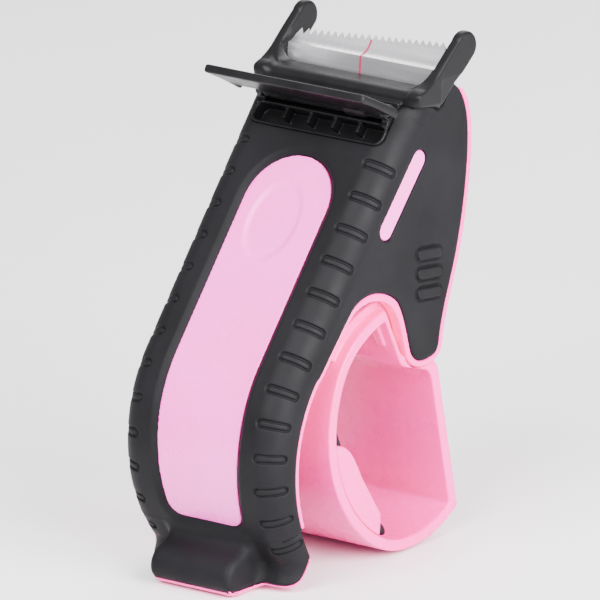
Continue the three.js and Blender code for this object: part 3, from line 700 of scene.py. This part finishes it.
def slot_lens(name, side):
    """The clear lens of the slot, on the near side (1) or the far side (-1)."""
    grid = Grid((27.0, 28.6) if side > 0 else (-28.6, -27.0), (38, 65), (85, 116), 0.3)
    lens = meet(stadium(grid, SLOT["half"] - 0.12), between(grid.x * side, 27.1, 28.15), 0.35)
    return solid(name, grid, lens)


RUBBER_NODES = ("front_grip", "near_side_cover", "far_side_cover", "foot_bumper")
SHELL_NODES = ("front_shell", "near_side_wall", "far_side_wall", "rear_wall")
finished(rubber_skin(), "housing", "soft_rubber", *RUBBER_NODES)
finished(clear_shell(), "housing", "clear_shell", *SHELL_NODES)
finished(window_plug(), "housing", "clear_window", "front_window")
finished(slot_lens("slot_lens_near", 1), "housing", "clear_window", "near_slot_lens")
finished(slot_lens("slot_lens_far", -1), "housing", "clear_window", "far_slot_lens")


# ---------- hub, lever and catches ----------
def hub_outline(grid, steep=0.0):
    """The D of the hub: a circle cut off by a steep wall, a ceiling under the side tab, and the back."""
    apex, knee, shoulder, heel = HUB_CORNERS
    ceiling = join(beyond(grid, apex, knee) + steep, beyond(grid, knee, shoulder), 1.5)
    chords = meet(ceiling, beyond(grid, shoulder, heel), 3.0)
    rounds = meet(circle(grid, HUB["y"], HUB["z"], HUB["r"]), circle(grid, **HUB_FRONT), 1.0)
    return meet(rounds, chords, 0.6)


def radial(grid, angle):
    """Coordinates along and across a radius of the hub."""
    ry, rz = grid.y - HUB["y"], grid.z - HUB["z"]
    return ry * math.cos(angle) + rz * math.sin(angle), rz * math.cos(angle) - ry * math.sin(angle)


def hub_tube():
    """The loop that holds the roll, with its screwed flange and the slots for the shoe and the catches."""
    grid = Grid((-27.6, 28.2), (17.5, 80), (-1.2, 72), PLASTIC_STEP)
    outline = hub_outline(grid)
    hollow = hub_outline(grid, -1.9) + HUB["wall"]
    tube = meet(outline, -hollow, 0.5)
    tube = meet(tube, between(grid.x, HUB["far"], HUB["near"]), 0.6)
    tab = side_outline(WALL_GROW, SKIRT_NEAR, 16).field(grid)
    crown = np.maximum(np.maximum(58 - grid.z, grid.y - 52), -outline - 2)
    flange = np.maximum(circle(grid, HUB["y"], HUB["z"], HUB["r"] + 2.2), np.minimum(tab + 2.2, crown))
    flange = meet(flange, between(grid.x, 21.6, INNER_HALF - GAP), 0.4)
    tube = join(tube, flange, 0.8)
    tube = cut(tube, np.maximum(tab - GAP, INNER_HALF - GAP - grid.x), 0.2)
    along, across = radial(grid, math.pi)
    shoe = np.maximum(between(across, -4.6, 4.6), np.maximum(np.abs(grid.x) - 8.6, 25 - along))
    tube = cut(tube, shoe, 0.3)
    for y, z in HUB_SCREWS.values():
        tube = cut(tube, np.maximum(circle(grid, y, z, SCREW_BORE), 10 - grid.x))
    for angle in CATCH_ANGLES.values():
        along, across = radial(grid, angle)
        notch = np.maximum(np.abs(across) - 4.3, np.maximum(28 - along, grid.x - (HUB["far"] + 14.3)))
        tube = cut(tube, notch, 0.25)
    return solid("hub_tube", grid, tube)


def lever_cap(name, x0, x1, bore0, bore1):
    """The plate inside the loop's end, from x0 to x1, that carries the lever's pin."""
    grid = Grid((x0 - 0.6, x1 + 0.6), (20, 52), (1, 42), 0.34)
    outline = Outline(18, 34.9).line((18, 0), (42.0, 0), (42.4, 4.6))
    outline.curve((43.4, 8), (43.2, 12.0))
    outline.line((35.3, 23.8))
    outline.curve((31, 32.4), (28.8, 34.4), (24.4, 34.9))
    inside_hub = hub_outline(grid) + HUB["wall"] + 0.12
    cap = meet(np.maximum(outline.field(grid), inside_hub), between(grid.x, x0, x1), 0.4)
    bore = np.maximum(circle(grid, LEVER["y"], LEVER["z"], LEVER_BORE), between(grid.x, bore0, bore1))
    return solid(name, grid, cut(cap, bore))


def lever_body():
    """The finger lever inside the loop, with room for its spring."""
    grid = Grid((-25.2, 25.2), (22, 50), (2.4, 46), 0.4)
    outline = Outline(25.0, 44.5).line((20, 40), (20, 10), (40, 2), (46, 2.6))
    outline.curve((48.8, 3.2), (48.8, 5.2))
    outline.curve((48.6, 7.4), (46.2, 8.2), (43.2, 11.2))
    outline.line((35.2, 23.4), (30.1, 33.0))
    inside_hub = hub_outline(grid) + HUB["wall"] + 0.6 + 1.6 * np.clip((grid.z - 8) / 20, 0, 1)
    lever = meet(outline.field(grid), inside_hub, 0.8)
    lever = meet(lever, np.abs(grid.x) - LEVER["half"], 0.8)
    lever = cut(lever, circle(grid, LEVER["y"], LEVER["z"], LEVER_BORE))
    spring_room = np.maximum(between(grid.x, 11, 19), circle(grid, LEVER["y"], LEVER["z"], 3.4))
    return solid("lever_body", grid, cut(lever, spring_room, 0.3))


def brake_block():
    """The grooved shoe that the lever presses on the core."""
    grid = Grid((-8.6, 8.6), (18.4, 27.6), (31, 39), 0.25)
    along, across = radial(grid, math.pi)
    block = meet(meet(between(along, 27.4, 34.6), np.abs(across) - 3, 0.6), np.abs(grid.x) - 8, 0.6)
    groove = np.hypot(along - 34.6, np.mod(across + 0.75, 1.5) - 0.75) - 0.35
    return solid("brake_block", grid, cut(block, groove, 0.1))


def catch_tongue(level, angle):
    """A bending tongue in the loop's wall, with the hook that keeps the roll on."""
    y, z = HUB["y"] + 34.5 * math.cos(angle), HUB["z"] + 34.5 * math.sin(angle)
    grid = Grid((-27.3, -12.4), (y - 8, y + 8), (z - 8, z + 8), 0.24)
    along, across = radial(grid, angle)
    wide = np.abs(across) - 4
    tongue = meet(between(along, 33.1, 35.3), between(grid.x, -27, -13.2), 0.4)
    slope_in = ((along - 35.1) - 3.3 * (-23.4 - grid.x)) / 3.45
    slope_out = ((along - 35.1) - 2.75 * (grid.x + 27)) / 2.93
    hook = np.maximum(meet(meet(slope_in, slope_out, 0.3), along - 38.4, 0.6), 34.5 - along)
    return solid("catch_tongue_" + level, grid, meet(join(tongue, hook, 0.6), wide, 0.5))


finished(hub_tube(), "housing", "clear_shell", "hub_loop")
cap_near = lever_cap("cap_near", 25.4, HUB["near"] - 0.1, 25, 26.9)
cap_far = lever_cap("cap_far", HUB["far"], -24.9, -26.5, -24)
finished(cap_near, "housing", "clear_shell", "lever_cap_near")
finished(cap_far, "housing", "clear_shell", "lever_cap_far")
finished(lever_body(), "lever", "black_plastic", "brake_lever")
finished(brake_block(), "lever", "soft_rubber", "brake_shoe")
for level, angle in CATCH_ANGLES.items():
    finished(catch_tongue(level, angle), "catch_" + level, "clear_shell", "roll_catch_" + level)


# ---------- tray, flap and blade frame ----------
def tray_shell():
    """The ribbed tray under the flap, with an ear at each end for the flap's pin."""
    grid = Grid((-24, 24), (44, 60), (106, 127), 0.3)
    face = Face(grid)
    corner = 2.8

    def block(half, top, bottom, low, high, round_by):
        qx = np.abs(grid.x) - (half - round_by)
        qs = np.abs(face.along - (top + bottom) / 2) - ((bottom - top) / 2 - round_by)
        return meet(rounded_box(qx, qs, round_by), between(face.depth, low, high), 0.4)

    outer = block(TRAY_HALF + 0.2, 0, TRAY_BOTTOM + 0.15, 0.2, TRAY_DEPTH, corner)
    inner = block(TRAY_HALF - 0.7, 0.8, TRAY_BOTTOM - 0.7, -3, TRAY_DEPTH - 0.8, corner - 0.7)
    tray = cut(outer, inner, 0.4)
    for i in range(TRAY_RIBS):
        rib_x = (i - (TRAY_RIBS - 1) / 2) * TRAY_RIB_PITCH
        rib = meet(np.abs(grid.x - rib_x) - 0.5, between(face.along, 0.4, 4.0), 0.2)
        rib = np.maximum(rib, between(face.depth, 0.9, TRAY_DEPTH - 0.3))
        tray = join(tray, rib, 0.3)
    for side in (-1, 1):
        x = side * (TRAY_HALF - 1.2)
        arm = np.maximum(between(face.along, -3, 1.2), between(face.depth, -0.2, 2.6))
        ear = join(circle(grid, FLAP["y"], FLAP["z"], 2.3), arm, 0.8)
        tray = join(tray, meet(ear, np.abs(grid.x - x) - 1.2, 0.4), 0.3)
    return solid("tray_shell", grid, cut(tray, circle(grid, FLAP["y"], FLAP["z"], FLAP_BORE)))


def flap_plate():
    """The wiper flap: a plate on a barrel, with a web along each edge and a pocket for its spring."""
    grid = Grid((-29, 29), (31, 57), (118, 136), 0.34)
    c, s = math.cos(FLAP["angle"]), math.sin(FLAP["angle"])
    ry, rz = grid.y - FLAP["y"], grid.z - FLAP["z"]
    out, lift = ry * c + rz * s, rz * c - ry * s
    wide = np.abs(grid.x)
    upper = np.abs(lift) - 1.2
    plate = meet(meet(upper, between(out, 3.2, FLAP["length"]), 0.7), wide - BODY_HALF, 0.7)
    barrel_half = TRAY_HALF - 2.4 - GAP
    root = meet(np.maximum(upper, between(out, -0.5, 4)), wide - barrel_half, 0.3)
    barrel = meet(circle(grid, FLAP["y"], FLAP["z"], 2.2), wide - barrel_half, 0.4)
    flap = join(join(plate, root, 0.6), barrel, 0.8)
    web = np.maximum(between(wide, BODY_HALF - 1.6, BODY_HALF), between(lift, 0, 2.1 - 0.1 * out))
    flap = join(flap, np.maximum(web, between(out, 3.4, FLAP["length"] - 1)), 0.5)
    flap = cut(flap, circle(grid, FLAP["y"], FLAP["z"], FLAP_BORE))
    boss = meet(np.hypot(ry, rz) - SPRING["room"] - 0.6, np.abs(grid.x - FLAP["spring_x"]) - 3.6, 0.4)
    pocket = np.maximum(np.abs(grid.x - FLAP["spring_x"]) - 2.9, np.hypot(ry, rz) - SPRING["room"])
    return solid("flap_plate", grid, cut(join(flap, boss, 0.3), pocket))


ARMS_HALF = 29.95


def frame_arms():
    """The blade frame: a bridge over the body's top, an arm at each end, and a tongue screwed inside."""
    grid = Grid((-30.4, 30.4), (54.0, 83), (115, 143.6), FRAME_STEP)
    bridge = Outline(56.6, 124.6)
    bridge.line((56.9, 126.4))
    bridge.curve((57.4, 128.2), (60.0, 128.4))
    bridge.line((65.6, 128.4), (65.6, 124.6))
    tongue = Outline(55.3, 125.2)
    tongue.line((55.1, 120.4), (55.6, 115.6), (57.4, 115.6), (59.5, 119.5), (65.6, 119), (65.6, 125.5))
    arm = Outline(57.6, 127.3)
    arm.curve((57.6, 125.3), (60.6, 125.3))
    arm.curve((64.2, 124.6), (66.3, 122.5))
    arm.line((68.6, 123.5), (72.8, 129))
    arm.curve((78.2, 133.2), (80.6, 135.6))
    arm.arc(77.1, 138.2, 4.4, -30, 150)
    arm.curve((66.4, 134.6), (60.2, 128.2))
    wide = np.abs(grid.x)
    profile = arm.field(grid)
    outer = 28.7 + 1.3 * np.clip((grid.z - 123.5) / 8, 0, 1)
    arms = meet(profile, np.maximum(27 - wide, wide - outer), 1.0)
    middle = meet(bridge.field(grid), wide - 29.4, 2.2)
    frame_body = join(middle, arms, 4.0)
    frame_body = np.maximum(frame_body, np.where(grid.y > 66.2, arms, -9))
    corner = np.maximum(np.maximum(22 - wide, wide - 27.5), between(grid.z, 127.5, 133.4))
    corner = np.maximum(corner, 5 - np.hypot(wide - 22, grid.z - 133.4))
    corner = np.maximum(corner, np.maximum(profile, grid.y - 65.6))
    frame_body = join(frame_body, corner, 0.4)
    inner = meet(tongue.field(grid), wide - TRAY_HALF, 0.4)
    frame_body = join(frame_body, inner, 0.5)
    frame_body = cut(frame_body, np.maximum(circle(grid, *FRAME_SCREW, SCREW_BORE), 18 - wide))
    for x in (-BLADE_SCREW["x"], BLADE_SCREW["x"]):
        bore = np.hypot(grid.x - x, grid.z - BLADE_SCREW["z"]) - 1.8
        frame_body = cut(frame_body, np.maximum(bore, 59 - grid.y))
    return solid("frame_arms", grid, np.maximum(frame_body, wide - ARMS_HALF))


TEETH = 22
BLADE_HALF = 26.0


def blade_sheet():
    """A bent steel strip: a flat band, a crease and a scoop that turns up to a row of teeth."""
    thick = 0.6
    pitch = 2 * BLADE_HALF / TEETH
    columns = [-BLADE_HALF + i * pitch / 2 for i in range(2 * TEETH + 1)]
    end = INNER_HALF - GAP - 0.1
    columns = sorted(columns + [-end, end])
    scoop = [(67.2, 132.9), (72.2, 133.6), (73.0, 140.8)]
    rows = 12

    def scoop_point(t):
        return tuple((1 - t) ** 2 * a + 2 * t * (1 - t) * b + t * t * c for a, b, c in zip(*scoop))

    def tip_height(x):
        return 136.1 + (x + BLADE_HALF) / (2 * BLADE_HALF) * 3.5

    points = []
    for x in columns:
        slot = (x + BLADE_HALF) / pitch
        valley = abs(slot - round(slot)) < 1e-6
        share = 1.0 if valley else 2 * abs(slot - math.floor(slot) - 0.5)
        height = tip_height(x) - 1.7 * share
        ts = np.linspace(0, 1, 201)
        stop = ts[int(np.argmin([abs(scoop_point(t)[1] - height) for t in ts]))]
        bottom = 120.4 if abs(x) <= end + 1e-6 else 125.5
        low = (65.95 + (bottom - 120) * 0.1, bottom)
        run = [low, (67.08, 131.8), scoop[0]]
        run += [scoop_point(stop * i / rows) for i in range(1, rows + 1)]
        for side in (0, 1):
            for i, (y, z) in enumerate(run):
                a, b = run[max(i - 1, 0)], run[min(i + 1, len(run) - 1)]
                ty, tz = b[0] - a[0], b[1] - a[1]
                size = math.hypot(ty, tz)
                taper = 0.35 if i == len(run) - 1 and not valley else 1.0
                offset = side * thick * taper
                points.append((x, y + offset * tz / size, z - offset * ty / size))
    per = rows + 3
    faces = []

    def index(column, side, row):
        return (column * 2 + side) * per + row

    last = len(columns) - 1
    for c in range(last):
        d = c + 1
        for r in range(per - 1):
            faces.append((index(c, 0, r), index(d, 0, r), index(d, 0, r + 1), index(c, 0, r + 1)))
            faces.append((index(c, 1, r + 1), index(d, 1, r + 1), index(d, 1, r), index(c, 1, r)))
        tip = per - 1
        faces.append((index(c, 0, tip), index(d, 0, tip), index(d, 1, tip), index(c, 1, tip)))
        faces.append((index(c, 1, 0), index(d, 1, 0), index(d, 0, 0), index(c, 0, 0)))
    for r in range(per - 1):
        faces.append((index(0, 0, r + 1), index(0, 1, r + 1), index(0, 1, r), index(0, 0, r)))
        faces.append((index(last, 0, r), index(last, 1, r), index(last, 1, r + 1), index(last, 0, r + 1)))
    made = mesh_object("blade_sheet", points, faces)
    made.data.set_sharp_from_angle(angle=math.radians(28))
    return made


finished(tray_shell(), "housing", "black_plastic", "rib_tray")
finished(flap_plate(), "flap", "black_plastic", "wiper_flap")
finished(frame_arms(), "housing", "black_plastic", "blade_frame")
finished(blade_sheet(), "housing", "blade_steel", "blade")


# ---------- turned parts and springs ----------
TURNED_SIDES = 48
TINY = 0.001


def turned(name, profile, y, z, x=0.0, along="X"):
    """A profile of (distance along, radius) turned about an axis.

    The axis runs across the width through (y, z), or from front to back through (x, z).
    """
    points, faces = [], []
    count = len(profile)
    for k in range(TURNED_SIDES):
        angle = 2 * math.pi * k / TURNED_SIDES
        c, s = math.cos(angle), math.sin(angle)
        for distance, radius in profile:
            if along == "X":
                points.append((distance, y + radius * c, z + radius * s))
            else:
                points.append((x + radius * s, distance, z + radius * c))
    for k in range(TURNED_SIDES):
        n = (k + 1) % TURNED_SIDES
        for i in range(count):
            j = (i + 1) % count
            faces.append((k * count + i, k * count + j, n * count + j, n * count + i))
    made = mesh_object(name, points, faces)
    made.data.set_sharp_from_angle(angle=math.radians(40))
    return made


def ring_profile(a, b, outer, inner):
    """A ring from a to b with bevelled outer edges."""
    low_edge = [(a, inner), (a, outer - BEVEL), (a + BEVEL, outer)]
    return low_edge + [(b - BEVEL, outer), (b, outer - BEVEL), (b, inner)]


def rod_profile(a, b, radius):
    return ring_profile(a, b, radius, TINY)


def roller_profile():
    """A plain roller with a shallow groove near each end."""
    half, r = ROLLER["half"], ROLLER["r"]
    bore = 1.8
    run = [(-half, bore), (-half, r - 0.4), (-half + 0.4, r)]
    for centre in (-half + 4, half - 4):
        run += [(centre - 0.8, r), (centre - 0.5, r - 0.45), (centre + 0.5, r - 0.45), (centre + 0.8, r)]
    return run + [(half - 0.4, r), (half, r - 0.4), (half, bore)]


def spring(name, y, z, x):
    """A coil round an axis across the width, with its middle at x."""
    radius, wire, turns = SPRING["radius"], SPRING["wire"], SPRING["turns"]
    points, faces = [], []
    steps, sides = turns * 24, 8
    width = 3 * wire * turns
    for i in range(steps + 1):
        t = i / steps
        angle = t * turns * 2 * math.pi
        for k in range(sides):
            around = 2 * math.pi * k / sides
            r = radius + wire * math.cos(around)
            px = x + (t - 0.5) * width + wire * math.sin(around)
            points.append((px, y + r * math.cos(angle), z + r * math.sin(angle)))
    for i in range(steps):
        for k in range(sides):
            n = (k + 1) % sides
            faces.append((i * sides + k, i * sides + n, (i + 1) * sides + n, (i + 1) * sides + k))
    caps = [tuple(range(sides))[::-1], tuple(steps * sides + k for k in range(sides))]
    return mesh_object(name, points, faces, caps)


def cross_screw(name, y, z, x, length):
    """A pan-head screw across the width: the head starts at x, and the shank runs on for a length."""
    way = math.copysign(1, length)
    neck = x + way * 1.7
    tip = neck + length
    run = [(x, TINY), (x, 1.6), (x + way * 0.5, 2.35), (x + way * 1.2, 2.6), (neck, 2.6), (neck, 1.2)]
    run += [(tip - way * 0.5, 1.2), (tip, 0.6), (tip, TINY)]
    return turned(name, run, y, z)


roller_tube = turned("roller_tube", roller_profile(), ROLLER["y"], ROLLER["z"])
finished(roller_tube, "roller", "white_plastic", "guide_roller")
axle_rod = turned("axle_rod", rod_profile(0.2 - SHELL_HALF, SHELL_HALF - 0.2, 1.5), ROLLER["y"], ROLLER["z"])
finished(axle_rod, "housing", "zinc_steel", "roller_axle")
for side, x in (("near", INNER_HALF), ("far", 0.1 - SHELL_HALF)):
    bush = turned("bush_" + side, ring_profile(x, x + SHELL - 0.1, 3.2, 1.8), ROLLER["y"], ROLLER["z"])
    finished(bush, "housing", "white_plastic", "roller_bush_" + side)
flap_rod = turned("flap_rod", rod_profile(-TRAY_HALF, TRAY_HALF, 1.1), FLAP["y"], FLAP["z"])
finished(flap_rod, "housing", "zinc_steel", "flap_pin")
lever_rod = turned("lever_rod", rod_profile(-26.4, 26.7, 1.2), LEVER["y"], LEVER["z"])
finished(lever_rod, "housing", "zinc_steel", "lever_pin")
for name, at in (("flap", FLAP), ("lever", LEVER)):
    coil = spring(name + "_coil", at["y"], at["z"], at["spring_x"])
    finished(coil, "housing", "zinc_steel", name + "_spring")
for side, way in (("near", 1), ("far", -1)):
    screw = cross_screw("screw_" + side, *FRAME_SCREW, way * (SHELL_HALF - 0.1), way * -6.5)
    finished(screw, "housing", "zinc_steel", "frame_screw_" + side)
for level, (y, z) in HUB_SCREWS.items():
    bolt = cross_screw("hub_bolt_" + level, y, z, 19.7, 4.6)
    finished(bolt, "housing", "zinc_steel", "hub_screw_" + level)
for side, x in (("far", -BLADE_SCREW["x"]), ("near", BLADE_SCREW["x"])):
    run = [(59.5, TINY), (59.5, 1.4), (67.4, 1.4), (67.4, 3.0), (68.4, 2.8), (69.1, 1.8), (69.2, TINY)]
    pan = turned("blade_bolt_" + side, run, 0, BLADE_SCREW["z"], x, "Y")
    finished(pan, "housing", "zinc_steel", "blade_screw_" + side)


# ---------- floor, light and camera ----------
def pale_floor():
    """The floor that the object stands on, which isn't part of it."""
    mesh = bpy.data.meshes.new("floor")
    r = 3.0
    mesh.from_pydata([(-r, -r, 0), (r, -r, 0), (r, r, 0), (-r, r, 0)], [], [(0, 1, 2, 3)])
    made = bpy.data.objects.new("floor", mesh)
    bpy.context.scene.collection.objects.link(made)
    n = Nodes("floor")
    n.colour(n.ramp(n.noise(6, 2), (0.3, (0.80, 0.79, 0.80)), (0.7, (0.84, 0.83, 0.84))))
    n.set(Roughness=0.6)
    mesh.materials.append(n.material)


def softbox(name, azimuth, elevation, distance, size, power):
    """A soft lamp aimed at the middle of the object."""
    light = bpy.data.lights.new(name, "AREA")
    light.energy, light.size = power, size
    made = bpy.data.objects.new(name, light)
    a, e = math.radians(azimuth), math.radians(elevation)
    back = Vector((math.sin(a) * math.cos(e), -math.cos(a) * math.cos(e), math.sin(e)))
    made.location = Vector((0, 0, 0.07)) + back * distance
    made.rotation_mode = "QUATERNION"
    made.rotation_quaternion = (-back).to_track_quat("-Z", "Y")
    bpy.context.scene.collection.objects.link(made)


def photo_camera():
    """A long lens from the front right, a little above."""
    azimuth, elevation, distance = math.radians(40), math.radians(14.5), 4.59
    back = direction(
        math.sin(azimuth) * math.cos(elevation),
        -math.cos(azimuth) * math.cos(elevation),
        math.sin(elevation),
    )
    up = direction(0, 0, 1)
    right = up.cross(back).normalized()
    true_up = back.cross(right)
    data = bpy.data.cameras.new("camera")
    data.lens, data.sensor_width = 1000, 36
    made = bpy.data.objects.new("camera", data)
    target = Vector(placed([(0, 41.2, 68.5)])[0])
    place = Matrix((right, true_up, back)).transposed().to_4x4()
    place.translation = target + back * distance
    made.matrix_world = place
    bpy.context.scene.collection.objects.link(made)
    bpy.context.scene.camera = made


def studio_world():
    world = bpy.data.worlds.new("studio")
    world.use_nodes = True
    background = world.node_tree.nodes["Background"]
    background.inputs["Color"].default_value = (0.92, 0.92, 0.95, 1)
    background.inputs["Strength"].default_value = 0.85
    bpy.context.scene.world = world


pale_floor()
studio_world()
softbox("key", 80, 25, 0.9, 0.6, 36)
softbox("front", 5, 45, 1.0, 0.7, 26)
softbox("back", 200, 40, 1.0, 0.8, 10)
photo_camera()
